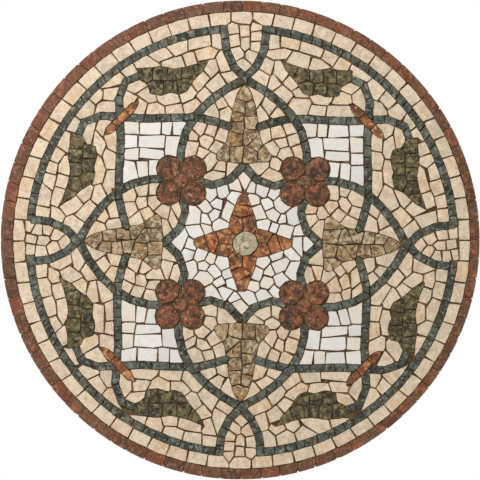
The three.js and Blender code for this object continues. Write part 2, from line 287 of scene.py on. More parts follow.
def nearest(seeds, reach):
    """For each cell, the offset to the nearest seed cell. Jump flooding: every cell looks at its
    neighbours at halving distances and keeps the nearest seed that they know."""
    side = len(seeds)
    rows, columns = np.mgrid[0:side, 0:side].astype(np.float32)
    far = np.float32(4 * side)
    near_row = np.where(seeds, rows, far)
    near_column = np.where(seeds, columns, far)
    best = (near_row - rows) ** 2 + (near_column - columns) ** 2
    step = reach
    while step >= 1:
        for down, right in [(d, r) for d in (-step, 0, step) for r in (-step, 0, step) if d or r]:
            to = (slice(max(0, -down), side - max(0, down)), slice(max(0, -right), side - max(0, right)))
            source = (slice(max(0, down), side + min(0, down)), slice(max(0, right), side + min(0, right)))
            distance = (near_row[source] - rows[to]) ** 2 + (near_column[source] - columns[to]) ** 2
            closer = distance < best[to]
            best[to] = np.where(closer, distance, best[to])
            near_row[to] = np.where(closer, near_row[source], near_row[to])
            near_column[to] = np.where(closer, near_column[source], near_column[to])
        step //= 2
    return near_column - columns, near_row - rows


def with_gaps_filled(regions):
    """Gives the wide gaps between nodes to the node whose cells are nearest, and leaves a joint's
    width free along the lines where two nodes' shares meet."""
    side = len(regions)
    across, up = nearest(regions > 0, 32)
    rows, columns = np.mgrid[0:side, 0:side]
    row = np.clip(rows + up.astype(int), 0, side - 1)
    column = np.clip(columns + across.astype(int), 0, side - 1)
    shares = regions[row, column]
    from_meeting = np.hypot(*nearest(edges_of(shares), 32)) * CELL
    from_centre = np.hypot(rows - side / 2, columns - side / 2) * CELL
    free = (regions == 0) & (from_meeting > GAP_KEPT) & (from_centre < BED_RADIUS - MILLIMETRE)
    return np.where(free, shares, regions)


class Plan:
    """Which node each cell of the grid belongs to, and which way and how far its nearest edge lies."""

    def __init__(self):
        self.names = sorted(name for name in frame["nodes"] if name != "setting_bed")
        self.fine = np.zeros((GRID, GRID), np.int32)
        for index, name in enumerate(self.names):
            self.fine[filled(node_outline_edges(name))] = index + 1
        self.fine = with_gaps_filled(self.fine)
        self.coarse = self.fine[::COARSE, ::COARSE]
        across, up = nearest(edges_of(self.coarse), 64)
        self.along_edge = np.arctan2(up, across) + math.pi / 2
        self.edge_distance = np.hypot(up, across) * CELL * COARSE

    def index(self, name):
        """The number of a node on the grid, where 0 is bare bed."""
        return self.names.index(name) + 1


PLAN = Plan()


def in_pattern(places, quarter=0, mirrored=False):
    """Turns places in pattern pixels into (x, z) in metres, after a mirror in the diagonal and a
    number of quarter turns."""
    u, v = np.array(places, float).T
    if mirrored:
        u, v = v, u
    angle = PATTERN_TURN + quarter * math.pi / 2
    x = PATTERN_MIDDLE[0] + PATTERN_PIXEL * (u * math.cos(angle) - v * math.sin(angle))
    z = PATTERN_MIDDLE[1] + PATTERN_PIXEL * (u * math.sin(angle) + v * math.cos(angle))
    return np.stack([x, z], 1)


def on_coarse(points):
    """Where places in metres lie on the coarse grid, in its cells."""
    return np.asarray(points, float) / (CELL * COARSE) + GRID / COARSE / 2 - 0.25


def off_coarse(cells):
    """The places in metres of cells of the coarse grid."""
    return (np.asarray(cells, float) + 0.25 - GRID / COARSE / 2) * CELL * COARSE


# Where the stones of a field go

def course_sites(node, width, length, allowed=None):
    """Stone middles in courses along a node's edges. The first course lies half a stone's width
    from the edge and each further one a width more. Within a course the point farthest from its
    neighbours comes next, until no point is two thirds of a stone away from them. Last come the
    narrow places that no course reaches."""
    region = PLAN.coarse == PLAN.index(node)
    if allowed is not None:
        region &= allowed
    taken = np.empty((0, 2))
    depth = PLAN.edge_distance[region].max()
    for course in range(math.ceil(depth / width) + 1):
        away = np.abs(PLAN.edge_distance - (course + 0.5) * width)
        lane = off_coarse(np.argwhere(region & (away < CELL * COARSE))[:, ::-1])
        taken = with_farthest(taken, lane, width, length)
    narrow = off_coarse(np.argwhere(region & (PLAN.edge_distance > NARROWEST))[:, ::-1])
    return with_farthest(taken, narrow, length * 1.1, length * 1.1)


def with_farthest(taken, lane, width, length):
    """Adds points of a lane to the ones taken, always the farthest next. The distance to earlier
    courses counts in widths, and along the lane in lengths."""
    if len(lane) == 0:
        return taken
    gap = np.full(len(lane), np.inf)
    if len(taken):
        gap = np.sqrt(((lane[:, None] - taken[None]) ** 2).sum(2).min(1)) / width
    chosen = []
    farthest = int(np.argmax(gap))
    while gap[farthest] > FREE_SHARE:
        chosen.append(lane[farthest])
        gap = np.minimum(gap, np.hypot(*(lane - lane[farthest]).T) / length)
        farthest = int(np.argmax(gap))
    return np.concatenate([taken, np.array(chosen).reshape(-1, 2)])


def claim(regions, region, sites, angles, lengths, widths, reach):
    """Gives each cell of a region to the site whose rectangle, turned to its angle, needs the least
    growing to reach the cell: the larger of the two distances along its sides, each over its size,
    and a small share of their sum, so that corners come last."""
    height, breadth = regions.shape
    owner = np.full(regions.shape, -1, np.int32)
    best = np.full(regions.shape, np.inf, np.float32)
    for site, ((x, z), angle) in enumerate(zip(sites, angles)):
        left, right = max(0, int(x - reach)), min(breadth, int(x + reach) + 2)
        bottom, top = max(0, int(z - reach)), min(height, int(z + reach) + 2)
        window = (slice(bottom, top), slice(left, right))
        dx = np.arange(left, right, dtype=np.float32)[None, :] - np.float32(x)
        dz = np.arange(bottom, top, dtype=np.float32)[:, None] - np.float32(z)
        cos, sin = np.float32(math.cos(angle)), np.float32(math.sin(angle))
        along = np.abs(dx * cos + dz * sin) / np.float32(lengths[site])
        across = np.abs(dz * cos - dx * sin) / np.float32(widths[site])
        distance = np.maximum(along, across) + np.float32(CORNER_LOSS) * (along + across)
        closer = (distance < best[window]) & (regions[window] == region)
        owner[window][closer] = site
        best[window][closer] = distance[closer]
    return owner


def settled(regions, region, turn, places, angles, lengths, widths, reach, turning):
    """Moves each site to the middle of the cells that it claims and, if it is turning, turns it to
    their mean direction: a quarter turn is no change, so twice the angles are averaged."""
    count = len(places)
    columns, rows = np.meshgrid(np.arange(regions.shape[1]), np.arange(regions.shape[0]))
    owner = claim(regions, region, places, angles, lengths, widths, reach)
    mine = owner >= 0
    cells = np.bincount(owner[mine], minlength=count)

    def mean(values):
        """The mean of a value over each site's cells."""
        return np.bincount(owner[mine], weights=values[mine], minlength=count) / np.maximum(cells, 1)

    places = np.where(cells[:, None] > 0, np.stack([mean(columns), mean(rows)], 1), places)
    if turning:
        cosine, sine = mean(np.cos(2 * turn)), mean(np.sin(2 * turn))
        angles = np.where(cells > 0, np.arctan2(sine, cosine) / 2, angles)
    return places, angles


def lay(node, sites, lengths, widths, joint, seed, rounds=4, uneven=0.0, skew=0.05, angle=None):
    """Lays stones in a node's outline. Each site is a rectangle, turned along the nearest edge or
    to the given angle. It claims the cells around it and moves to their middle, again and again,
    and ends a little out of line. Returns the stones' middles and outlines."""
    rng = np.random.default_rng(seed)
    region = PLAN.index(node)
    rows, columns = np.nonzero(PLAN.coarse == region)
    bottom, left = max(0, rows.min() - MARGIN), max(0, columns.min() - MARGIN)
    top, right = rows.max() + MARGIN, columns.max() + MARGIN
    regions = PLAN.coarse[bottom:top, left:right]
    turn = PLAN.along_edge[bottom:top, left:right]
    count = len(sites)
    places = on_coarse(sites) - [left, bottom]
    lengths = np.broadcast_to(lengths, count) * np.exp(rng.normal(0, uneven, count))
    widths = np.broadcast_to(widths, count) * np.exp(rng.normal(0, uneven / 2, count))
    reach = CLAIM_REACH * max(lengths.max(), widths.max()) / (CELL * COARSE)
    at = np.clip(np.round(places).astype(int), 0, np.array(regions.shape)[::-1] - 1)
    angles = turn[at[:, 1], at[:, 0]] if angle is None else np.full(count, angle)
    for _ in range(rounds):
        places, angles = settled(
            regions, region, turn, places, angles, lengths, widths, reach, turning=angle is None)
    angles = angles + rng.normal(0, skew, count)
    fine = PLAN.fine[bottom * COARSE:top * COARSE, left * COARSE:right * COARSE]
    owner = claim(fine, region, places * COARSE + 0.5, angles, lengths, widths, reach * COARSE)
    origin = (np.array([left, bottom]) * COARSE + 0.5 - GRID / 2) * CELL
    return outlines(owner, fine == region, count, origin, joint, rng)


# From claimed cells to straight-sided stones

def meetings(owner):
    """The places where the cells of two stones meet, in the middle between the two cells: the lower
    and the higher of the two stones, and the place."""
    found = []
    side_by_side = ((owner[:-1], owner[1:], 0, 0.5), (owner[:, :-1], owner[:, 1:], 0.5, 0))
    for first, second, right, up in side_by_side:
        rows, columns = np.nonzero((first != second) & (first >= 0) & (second >= 0))
        a, b = first[rows, columns], second[rows, columns]
        found.append(np.stack([np.minimum(a, b), np.maximum(a, b), columns + right, rows + up]))
    return np.concatenate(found, axis=1)


def straight_joints(owner, count, middles, joint, rng):
    """Cuts neighbours apart along straight lines. A line is fitted through the places where two
    stones' cells meet, by their mean and their longer axis. Each stone's side is moved back about
    half a joint from it and turned a little, so that joints come out wedge-shaped. Returns, for
    each side, its stone, the direction it faces and its distance from the stone's middle."""
    low, high, x, z = meetings(owner)
    keys, pair, meets = np.unique((low * count + high).astype(int), return_inverse=True, return_counts=True)

    def mean(values):
        """The mean of a value over each pair's meeting places."""
        return np.bincount(pair, weights=values) / meets

    mx, mz = mean(x), mean(z)
    dx, dz = x - mx[pair], z - mz[pair]
    slope = 0.5 * np.arctan2(2 * mean(dx * dz), mean(dx * dx) - mean(dz * dz))
    enough = meets >= FEWEST_MEETINGS
    mx, mz, facing = mx[enough], mz[enough], slope[enough] + math.pi / 2
    half_length = np.minimum(meets[enough] / 2, LONGEST_TURNED)
    half_joint = joint / 2 / CELL
    stones, directions, distances = [], [], []
    for stone in (keys[enough] // count, keys[enough] % count):
        dx, dz = mx - middles[stone, 0], mz - middles[stone, 1]
        away = np.where(dx * np.cos(facing) + dz * np.sin(facing) > 0, facing, facing + math.pi)
        turned = np.clip(rng.normal(0, SIDE_TURN, len(away)), -LARGEST_SIDE_TURN, LARGEST_SIDE_TURN)
        turned = turned * min(1, joint / MILLIMETRE)
        back = np.abs(turned) * half_length * 0.5 + half_joint * (0.6 + 0.7 * rng.random(len(away)))
        away = away + turned
        stones.append(stone)
        directions.append(away)
        distances.append(dx * np.cos(away) + dz * np.sin(away) - back)
    return np.concatenate(stones), np.concatenate(directions), np.concatenate(distances)


def cut_by(direction, distance):
    """How far each ray gets from a stone's middle before a straight side cuts it: the side's
    distance over the cosine between the ray and the way the side faces."""
    toward = np.cos(RAY_ANGLES - direction)
    return np.where(toward > SIDEWAYS, distance / np.maximum(toward, SIDEWAYS), np.inf)


def way_out(inside, middles, farthest):
    """How far each ray gets before it leaves the node's cells, evened out over its neighbours."""
    steps = np.arange(0, farthest + 1, 0.5)
    ray_x = middles[:, 0][:, None, None] + np.cos(RAY_ANGLES)[None, :, None] * steps
    ray_z = middles[:, 1][:, None, None] + np.sin(RAY_ANGLES)[None, :, None] * steps
    column = np.clip(np.round(ray_x).astype(int), 0, inside.shape[1] - 1)
    row = np.clip(np.round(ray_z).astype(int), 0, inside.shape[0] - 1)
    outside = ~inside[row, column]
    outside[:, :, -1] = True
    leaving = steps[np.argmax(outside, axis=2)] + OUTWARD - 0.5
    return (np.roll(leaving, 1, 1) + 2 * leaving + np.roll(leaving, -1, 1)) / 4


def way_to_rim(places):
    """How far each ray gets from a place before it reaches the rim, in cells: the positive root of
    the ray's crossing with the panel's circle."""
    x, z = places.T / CELL
    outwards = x[:, None] * np.cos(RAY_ANGLES) + z[:, None] * np.sin(RAY_ANGLES)
    rim = (PANEL_RADIUS - RIM_SLACK) / CELL
    return np.sqrt(outwards ** 2 - (x * x + z * z)[:, None] + rim * rim) - outwards


def outlines(owner, inside, count, origin, joint, rng):
    """The outline of each stone, seen from its middle along rays: a ray ends at the first straight
    joint, at the hull of the stone's cells, where it leaves the node or at the panel's rim. Returns
    the middles, and the outlines around them, in metres."""
    rows, columns = np.nonzero(owner >= 0)
    label = owner[rows, columns]
    cells = np.bincount(label, minlength=count)
    mean_x = np.bincount(label, weights=columns, minlength=count) / np.maximum(cells, 1)
    mean_z = np.bincount(label, weights=rows, minlength=count) / np.maximum(cells, 1)
    order = np.lexsort(((columns - mean_x[label]) ** 2 + (rows - mean_z[label]) ** 2, label))
    label, rows, columns = label[order], rows[order], columns[order]
    present = np.nonzero(cells)[0]
    starts = np.searchsorted(label, present)
    middles = np.zeros((count, 2))
    middles[present] = np.stack([columns[starts], rows[starts]], 1)
    dx, dz = columns - middles[label, 0], rows - middles[label, 1]
    radius = np.full((count, RAYS), np.inf)
    for angle in RAY_ANGLES[::HULL_STEP]:
        support = np.maximum.reduceat(dx * math.cos(angle) + dz * math.sin(angle), starts) + OUTWARD
        radius[present] = np.minimum(radius[present], cut_by(angle, support[:, None]))
    leaving = way_out(inside, middles[present], radius[present].max())
    to_rim = way_to_rim(origin + middles[present] * CELL)
    radius[present] = np.minimum(radius[present], np.minimum(leaving, to_rim))
    stone, direction, distance = straight_joints(owner, count, middles, joint, rng)
    if len(stone):
        distance = np.maximum(distance, NEAREST_SIDE)[:, None]
        np.minimum.at(radius, stone, cut_by(direction[:, None], distance))
    radius = radius[present]
    whole = radius.mean(1) > SMALLEST_STONE
    return origin + middles[present][whole] * CELL, sharpest(radius[whole] * CELL)


def sharpest(radius):
    """Keeps one outline point of each group of rays, the one where the outline turns most, so that
    corners stay corners."""
    points = np.stack([radius * np.cos(RAY_ANGLES), radius * np.sin(RAY_ANGLES)], 2)
    bend = np.hypot(*np.moveaxis(2 * points - np.roll(points, 1, 1) - np.roll(points, -1, 1), 2, 0))
    group = RAYS // OUTLINE_POINTS
    best = bend.reshape(len(radius), OUTLINE_POINTS, group).argmax(2) + np.arange(OUTLINE_POINTS) * group
    return np.take_along_axis(points, best[:, :, None], 1)


def nibbled_stones(middles, radii, sides, rng, flats=None):
    """Outlines of stones nibbled round: the nearest of a few straight cuts at uneven angles and
    distances, or a circle that takes off their corners. Each flat is one more cut for each stone, as
    its direction and its distance."""
    count = len(middles)
    uneven = 0.3 * rng.normal(0, 0.5, (count, sides))
    around = (np.arange(sides)[None] + uneven) * 2 * math.pi / sides
    around += rng.random((count, 1)) * 2 * math.pi
    radii = np.asarray(radii, float).reshape(-1, 1)
    cuts = radii * (0.88 + 0.08 * rng.random((count, sides)))
    if flats is not None:
        around = np.concatenate([around, flats[..., 0]], 1)
        cuts = np.concatenate([cuts, flats[..., 1]], 1)
    toward = np.cos(RAY_ANGLES[None, None] - around[:, :, None])
    reach = np.where(toward > 0.1, cuts[:, :, None] / np.maximum(toward, 0.1), np.inf).min(1)
    return np.asarray(middles, float), sharpest(np.minimum(reach, radii * ROUNDING))


# Stones as meshes

def ring_quads(around, rings):
    """The quads between rings of as many points each that follow one another: a point, the next one
    round, and the two beside them on the next ring."""
    here = np.arange(around)
    following = (here + 1) % around
    level = np.arange(rings - 1)[:, None] * around
    beyond = level + around
    return np.stack([level + here, level + following, beyond + following, beyond + here], 2)


def chip_depths(angle, reach, chips, rng):
    """How deep chips go into each point of the outlines: for each chip a bell curve of the angle
    from its own place. Its height is a normal number that is mostly below nought, which is no
    chip."""
    count = len(reach)
    depths = np.zeros_like(reach)
    for _ in range(CHIPS):
        gap = np.angle(np.exp(1j * (angle - rng.random((count, 1)) * 2 * math.pi)))
        deepest = np.clip(rng.normal(-0.3, 0.5, (count, 1)), 0, 0.8) * chips * MILLIMETRE
        depths += deepest * np.exp(-(gap / (0.1 + 0.18 * rng.random((count, 1)))) ** 2)
    return np.minimum(depths, reach * 0.25)


def stone_mesh(name, middles, outline, seed, drop=None, chips=1.0, tints=None):
    """One mesh of closed stones. Each outline is carried through rings from the bed to the face: a
    straight side, a worn arris that breaks away in a few chips, and a top that is a tilted plane
    with two crossed waves on it, a little below the face."""
    sizes = bpy.context.scene.mosaic_sizes
    rng = np.random.default_rng(seed)
    count, around = outline.shape[:2]
    reach = np.hypot(outline[:, :, 0], outline[:, :, 1])
    angle = np.arctan2(outline[:, :, 1], outline[:, :, 0])
    chip = chip_depths(angle, reach, chips, rng)
    sunk = 0.05 * MILLIMETRE + rng.random((count, 1)) * (sizes.drop if drop is None else drop)
    slope = rng.normal(0, sizes.tilt, (count, 2))
    arris = sizes.arris * (0.6 + 0.8 * rng.random((count, 1)))
    grain = rng.random((count, 1)) * 20
    steepest = np.hypot(*slope.T)[:, None] * reach.max(1, keepdims=True)
    rings = []
    for inset, chipped, lowered in STONE_RINGS:
        shrink = np.maximum(reach - inset * arris - chipped * chip, 0.4 * reach) / reach
        x, z = outline[:, :, 0] * shrink, outline[:, :, 1] * shrink
        if lowered is None:
            height = np.full_like(x, STONE_FOOT)
        else:
            lean = slope[:, :1] * x + slope[:, 1:] * z
            swell = 0.07 * MILLIMETRE * (np.sin(480 * x + grain) + np.sin(530 * z - 2 * grain))
            height = FACE - sunk - steepest * 0.5 + lean * 0.5 + swell
            height = height - lowered * arris - 0.6 * chipped * chip
            height = np.minimum(height, FACE)
        rings.append(np.stack([middles[:, :1] + x, -height, middles[:, 1:] + z], 2))
    points = np.concatenate([*rings, rings[-1].mean(1, keepdims=True)], 1)
    per_stone = points.shape[1]
    here = np.arange(around)
    last = (len(rings) - 1) * around
    cap = np.stack([last + here, last + (here + 1) % around, np.full(around, per_stone - 1)], 1)
    offset = np.arange(count)[:, None] * per_stone
    quads = (ring_quads(around, len(rings)).reshape(1, -1, 4) + offset[:, :, None]).reshape(-1, 4)
    caps = (cap[None] + offset[:, :, None]).reshape(-1, 3)
    soles = here[::-1][None] + offset
    mesh = mesh_from(name, points.reshape(-1, 3), quads, caps, soles)
    rim = np.zeros((count, per_stone))
    rim[:, :2 * around] = 1
    add_attribute(mesh, "rim", rim)
    for label in ("shade", "tint", "grain_seed"):
        own = rng.random((count, 1))
        if label == "tint" and tints is not None:
            own = np.reshape(tints, (count, 1))
        add_attribute(mesh, label, np.broadcast_to(own, (count, per_stone)))
    mesh.set_sharp_from_angle(angle=math.radians(40))
    return mesh


def add_attribute(mesh, label, values):
    """Keeps one number for each point of a mesh, for its material to read."""
    layer = mesh.attributes.new(label, "FLOAT", "POINT")
    layer.data.foreach_set("value", np.ascontiguousarray(values, np.float32).ravel())


def mesh_from(name, points, *face_lists):
    """A smooth-shaded mesh from an array of points and arrays of faces, one for each number of
    sides."""
    mesh = bpy.data.meshes.new(name)
    mesh.vertices.add(len(points))
    mesh.vertices.foreach_set("co", np.ascontiguousarray(points, np.float32).ravel())
    loops = np.concatenate([faces.ravel() for faces in face_lists]).astype(np.int32)
    mesh.loops.add(len(loops))
    mesh.loops.foreach_set("vertex_index", loops)
    sides = np.concatenate([np.full(len(faces), faces.shape[1]) for faces in face_lists])
    mesh.polygons.add(len(sides))
    mesh.polygons.foreach_set("loop_start", (np.cumsum(sides) - sides).astype(np.int32))
    mesh.update(calc_edges=True)
    mesh.shade_smooth()
    return mesh


def bed_mesh(sizes):
    """The adhesive, a disc of rings and spokes. Its face is a sum of slow and quick waves at the
    joint depth that curves down to the bed at the rim, and its back is flat behind the net."""
    rings, spokes = BED_RINGS, BED_SPOKES
    share = np.linspace(0, 1, rings + 1)[1:] ** 0.8
    radius = share[:, None] * BED_RADIUS
    angle = np.arange(spokes)[None] * 2 * math.pi / spokes
    x, z = radius * np.cos(angle), radius * np.sin(angle)
    waves = np.sin(310 * x + 5 * np.sin(170 * z)) + np.sin(270 * z + 4 * np.sin(190 * x))
    waves += 0.7 * np.sin(700 * x + 3) * np.sin(760 * z)
    height = FACE - sizes.joint_depth + 0.3 * MILLIMETRE * waves
    rim = np.clip((BED_RADIUS - radius) / (5 * MILLIMETRE), 0, 1)
    height = BED_TOP + (height - BED_TOP) * np.sqrt(rim)
    back = 0.45 * sizes.net_thread
    face = np.stack([x, -height, z], 2).reshape(-1, 3)
    edge_back = np.stack([x[-1], np.full(spokes, -back), z[-1]], 1)
    points = np.concatenate([face, edge_back, [[0, -(FACE - sizes.joint_depth), 0], [0, -back, 0]]])
    here = np.arange(spokes)
    following = (here + 1) % spokes
    outwards = ring_quads(spokes, rings + 1)[..., [0, 3, 2, 1]]
    top, bottom = len(points) - 2, len(points) - 1
    cap = np.stack([here, following, np.full(spokes, top)], 1)
    sole = np.stack([rings * spokes + following, rings * spokes + here, np.full(spokes, bottom)], 1)
    mesh = mesh_from("setting_bed_adhesive", points, outwards.reshape(-1, 4), np.concatenate([cap, sole]))
    mesh.set_sharp_from_angle(angle=math.radians(50))
    return mesh


def net_mesh(sizes):
    """The woven net: flat threads one pitch apart both ways, each as long as its chord of the disc.
    A thread's section is a flat hexagon, and its height is a wave that changes sides at each
    crossing, so that the threads go over and under each other."""
    pitch, half = sizes.net_pitch, sizes.net_thread / 2
    thickness = 0.2 * sizes.net_thread
    lines = int(BED_RADIUS / pitch - 0.5)
    points, quads = [], []
    section = np.array([(-half, 0), (-half * 0.5, -thickness), (half * 0.5, -thickness), (half, 0),
                        (half * 0.5, thickness), (-half * 0.5, thickness)])
    sides = len(section)
    offset = 0
    for crosswise in (0, 1):
        for line in range(-lines, lines + 1):
            reach = int(math.sqrt(max(0, (BED_RADIUS - pitch) ** 2 - (line * pitch) ** 2)) / pitch)
            if reach < 1:
                continue
            along = np.arange(-reach, reach + 1)
            wave = np.where((along + line + crosswise) % 2 == 0, 1, -1) * thickness * 0.9
            depth = -2.1 * thickness + wave
            run = np.repeat(along * pitch, sides).reshape(-1, sides)
            across = line * pitch + np.broadcast_to(section[:, 0], run.shape)
            y = np.minimum(depth[:, None] + section[:, 1][None], 0)
            x, z = (run, across) if crosswise == 0 else (across, run)
            points.append(np.stack([x, y, z], 2).reshape(-1, 3))
            ends = np.array([[3, 2, 1, 0], [5, 4, 3, 0]])
            far = (len(along) - 1) * sides + np.array([[0, 1, 2, 3], [0, 3, 4, 5]])
            faces = np.concatenate([ring_quads(sides, len(along)).reshape(-1, 4), ends, far])
            quads.append(offset + (faces if crosswise == 0 else faces[:, ::-1]))
            offset += len(along) * sides
    return mesh_from("setting_net", np.concatenate(points), np.concatenate(quads))


# Stone finishes

# The size of the soft bump and of the blotches of roughness on every finish, in millimetres
SOFT_BUMP = 4


class Finish:
    """Builds one node material, layer by layer, on the colour that its surface has so far. Patterns
    lie on the Object coordinates, moved for each stone by its own seed, so that no two stones share
    a pattern. Their sizes are in millimetres."""

    def __init__(self, name, colour):
        self.surface = colour
        self.material = bpy.data.materials.new(name)
        self.material.use_nodes = True
        self.tree = self.material.node_tree
        self.shader = self.tree.nodes["Principled BSDF"]
        spread = self.node("ShaderNodeVectorMath", operation="SCALE")
        spread.inputs[0].default_value = (3.1, 4.7, 2.3)
        self.link(self.attribute("grain_seed"), spread.inputs["Scale"])
        moved = self.node("ShaderNodeVectorMath", operation="ADD")
        self.link(self.node("ShaderNodeTexCoord").outputs["Object"], moved.inputs[0])
        self.link(spread.outputs[0], moved.inputs[1])
        self.place = moved.outputs[0]

    def node(self, kind, **settings):
        """A new node with the given settings."""
        made = self.tree.nodes.new(kind)
        for key, value in settings.items():
            setattr(made, key, value)
        return made

    def link(self, source, target):
        """Joins one node's socket to another's."""
        self.tree.links.new(source, target)

    def attribute(self, name):
        """The value that a mesh attribute has at the place."""
        return self.node("ShaderNodeAttribute", attribute_name=name).outputs["Fac"]

    def noise(self, size, detail=4.0, roughness=0.6, distortion=0.0):
        """Cloudy noise with blotches of about the given size."""
        made = self.node("ShaderNodeTexNoise")
        self.link(self.place, made.inputs["Vector"])
        made.inputs["Scale"].default_value = 1 / (size * MILLIMETRE)
        made.inputs["Detail"].default_value = detail
        made.inputs["Roughness"].default_value = roughness
        made.inputs["Distortion"].default_value = distortion
        return made.outputs["Fac"]

    def ramp(self, value, low, high, to_low=0.0, to_high=1.0):
        """A straight change from one value at low to another at high."""
        made = self.node("ShaderNodeMapRange")
        self.link(value, made.inputs["Value"])
        ends = {"From Min": low, "From Max": high, "To Min": to_low, "To Max": to_high}
        for socket, number in ends.items():
            made.inputs[socket].default_value = number
        return made.outputs["Result"]

    def mix(self, amount, base, over):
        """One colour turned into another by an amount from 0 to 1."""
        made = self.node("ShaderNodeMix", data_type="RGBA")
        sockets = (made.inputs["Factor"], made.inputs[6], made.inputs[7])
        for socket, value in zip(sockets, (amount, base, over)):
            if isinstance(value, bpy.types.NodeSocket):
                self.link(value, socket)
            else:
                socket.default_value = (*value, 1.0)
        return made.outputs[2]

    def cover(self, amount, colour):
        """Lays a colour over the surface by an amount from 0 to 1."""
        self.surface = self.mix(amount, self.surface, colour)

    def patches(self, colour, size, share, strength):
        """Blotches of a colour: the share of the surface that they cover goes up as the threshold
        in the noise goes down."""
        threshold = 0.72 - 0.4 * share
        noise = self.noise(size, distortion=0.5)
        self.cover(self.ramp(noise, threshold - 0.06, threshold + 0.07, 0.0, strength), colour)

    def specks(self, colour, size, strength):
        """Small ragged flecks of a colour, at the peaks of a bent noise."""
        noise = self.noise(size, detail=2.0, roughness=0.7, distortion=1.5)
        self.cover(self.ramp(noise, 0.58, 0.66, 0.0, strength), colour)

    def veins(self, colour, size, strength):
        """Thin lines of a colour, where the noise passes its middle value."""
        noise = self.noise(size, detail=6.0, roughness=0.65, distortion=1.2)
        bend = self.node("ShaderNodeMath", operation="SUBTRACT")
        self.link(noise, bend.inputs[0])
        bend.inputs[1].default_value = 0.5
        width = self.node("ShaderNodeMath", operation="ABSOLUTE")
        self.link(bend.outputs[0], width.inputs[0])
        self.cover(self.ramp(width.outputs[0], 0.0, 0.025, strength, 0.0), colour)

    def tones(self, dark, light, warm):
        """Each stone's own tone: darker or lighter by its shade and, with a high tint, of another
        hue."""
        plain = self.surface
        tinted = tuple(min(1.0, channel * factor) for channel, factor in zip(plain, warm))
        self.surface = self.mix(self.attribute("shade"), shaded(plain, dark), shaded(plain, light))
        self.cover(self.ramp(self.attribute("tint"), 0.55, 1.0), tinted)

    def worn(self, colour, strength):
        """Another colour on the arrises and sides."""
        self.cover(self.ramp(self.attribute("rim"), 0.3, 1.0, 0.0, strength), colour)

    def made(self, rough_low, rough_high, bump_size, bump_height):
        """The material with its colour, a roughness that wanders between two values, and a fine
        bump over one that is softer and twice as high."""
        self.link(self.surface, self.shader.inputs["Base Color"])
        rough = self.ramp(self.noise(SOFT_BUMP), 0.35, 0.65, rough_low, rough_high)
        self.link(rough, self.shader.inputs["Roughness"])
        soft = self.node("ShaderNodeBump")
        self.link(self.noise(SOFT_BUMP, detail=3.0), soft.inputs["Height"])
        soft.inputs["Distance"].default_value = bump_height * MILLIMETRE * 2
        fine = self.node("ShaderNodeBump")
        self.link(self.noise(bump_size, detail=3.0), fine.inputs["Height"])
        fine.inputs["Distance"].default_value = bump_height * MILLIMETRE
        self.link(soft.outputs["Normal"], fine.inputs["Normal"])
        self.link(fine.outputs["Normal"], self.shader.inputs["Normal"])
        return self.material


def shaded(colour, factor):
    """A colour with each channel times a factor, and none above 1."""
    return tuple(min(1.0, channel * factor) for channel in colour)


def cream_limestone(colour):
    """Cream with paler and tan blotches, brown veins and flecks, and tan edges."""
    stone = Finish("cream_limestone", colour)
    stone.tones(0.82, 1.06, (0.95, 0.84, 0.72))
    stone.patches(shaded(colour, 1.18), 9, 0.5, 0.7)
    stone.patches((0.5, 0.35, 0.2), 5, 0.3, 0.5)
    stone.veins((0.34, 0.22, 0.12), 12, 0.35)
    stone.specks((0.3, 0.19, 0.1), 4, 0.35)
    stone.worn((0.5, 0.36, 0.22), 0.5)
    return stone.made(0.45, 0.7, 1.5, 0.08)


def white_marble(colour):
    """White with faint yellow blotches and grey veins."""
    stone = Finish("white_marble", colour)
    stone.tones(0.9, 1.05, (1.0, 0.93, 0.82))
    stone.patches((0.74, 0.64, 0.46), 9, 0.28, 0.35)
    stone.veins((0.5, 0.46, 0.4), 16, 0.2)
    stone.worn((0.6, 0.48, 0.32), 0.4)
    return stone.made(0.3, 0.5, 1.5, 0.05)


def red_marble(colour):
    """Red brown with dark and orange blotches, cream flecks and cream veins."""
    stone = Finish("red_marble", colour)
    stone.tones(0.5, 1.15, (1.5, 0.85, 0.65))
    stone.patches((0.045, 0.028, 0.016), 7, 0.54, 0.9)
    stone.patches((0.46, 0.14, 0.06), 7, 0.38, 0.85)
    stone.specks((0.5, 0.36, 0.25), 5, 0.3)
    stone.veins((0.5, 0.36, 0.25), 15, 0.3)
    stone.worn((0.22, 0.13, 0.07), 0.4)
    return stone.made(0.4, 0.65, 1.2, 0.08)


def green_marble(colour):
    """Dark green grey with nearly black and pale blotches and flecks."""
    stone = Finish("green_marble", colour)
    stone.tones(0.4, 1.8, (1.25, 1.1, 0.9))
    stone.patches(shaded(colour, 0.22), 6, 0.44, 0.85)
    stone.patches((0.28, 0.31, 0.25), 5, 0.34, 0.8)
    stone.specks((0.36, 0.38, 0.31), 5, 0.45)
    stone.worn((0.05, 0.045, 0.03), 0.45)
    return stone.made(0.4, 0.65, 1.0, 0.09)


def olive_marble(colour):
    """Nearly black olive with straw blotches and a mesh of straw veins."""
    stone = Finish("olive_marble", colour)
    stone.tones(0.45, 1.4, (1.0, 1.15, 0.9))
    stone.patches((0.012, 0.01, 0.006), 7, 0.54, 0.95)
    stone.patches((0.33, 0.26, 0.12), 6, 0.4, 0.9)
    stone.veins((0.3, 0.27, 0.14), 9, 0.65)
    stone.worn((0.06, 0.045, 0.022), 0.4)
    return stone.made(0.35, 0.6, 1.0, 0.09)


def ochre_limestone(colour):
    """Ochre with brown and straw blotches and dark flecks."""
    stone = Finish("ochre_limestone", colour)
    stone.tones(0.6, 1.35, (1.0, 0.82, 0.6))
    stone.patches((0.11, 0.065, 0.035), 6, 0.5, 0.85)
    stone.patches((0.74, 0.63, 0.44), 7, 0.45, 0.8)
    stone.specks((0.05, 0.025, 0.018), 5, 0.9)
    stone.worn((0.16, 0.09, 0.04), 0.55)
    return stone.made(0.45, 0.7, 1.1, 0.1)


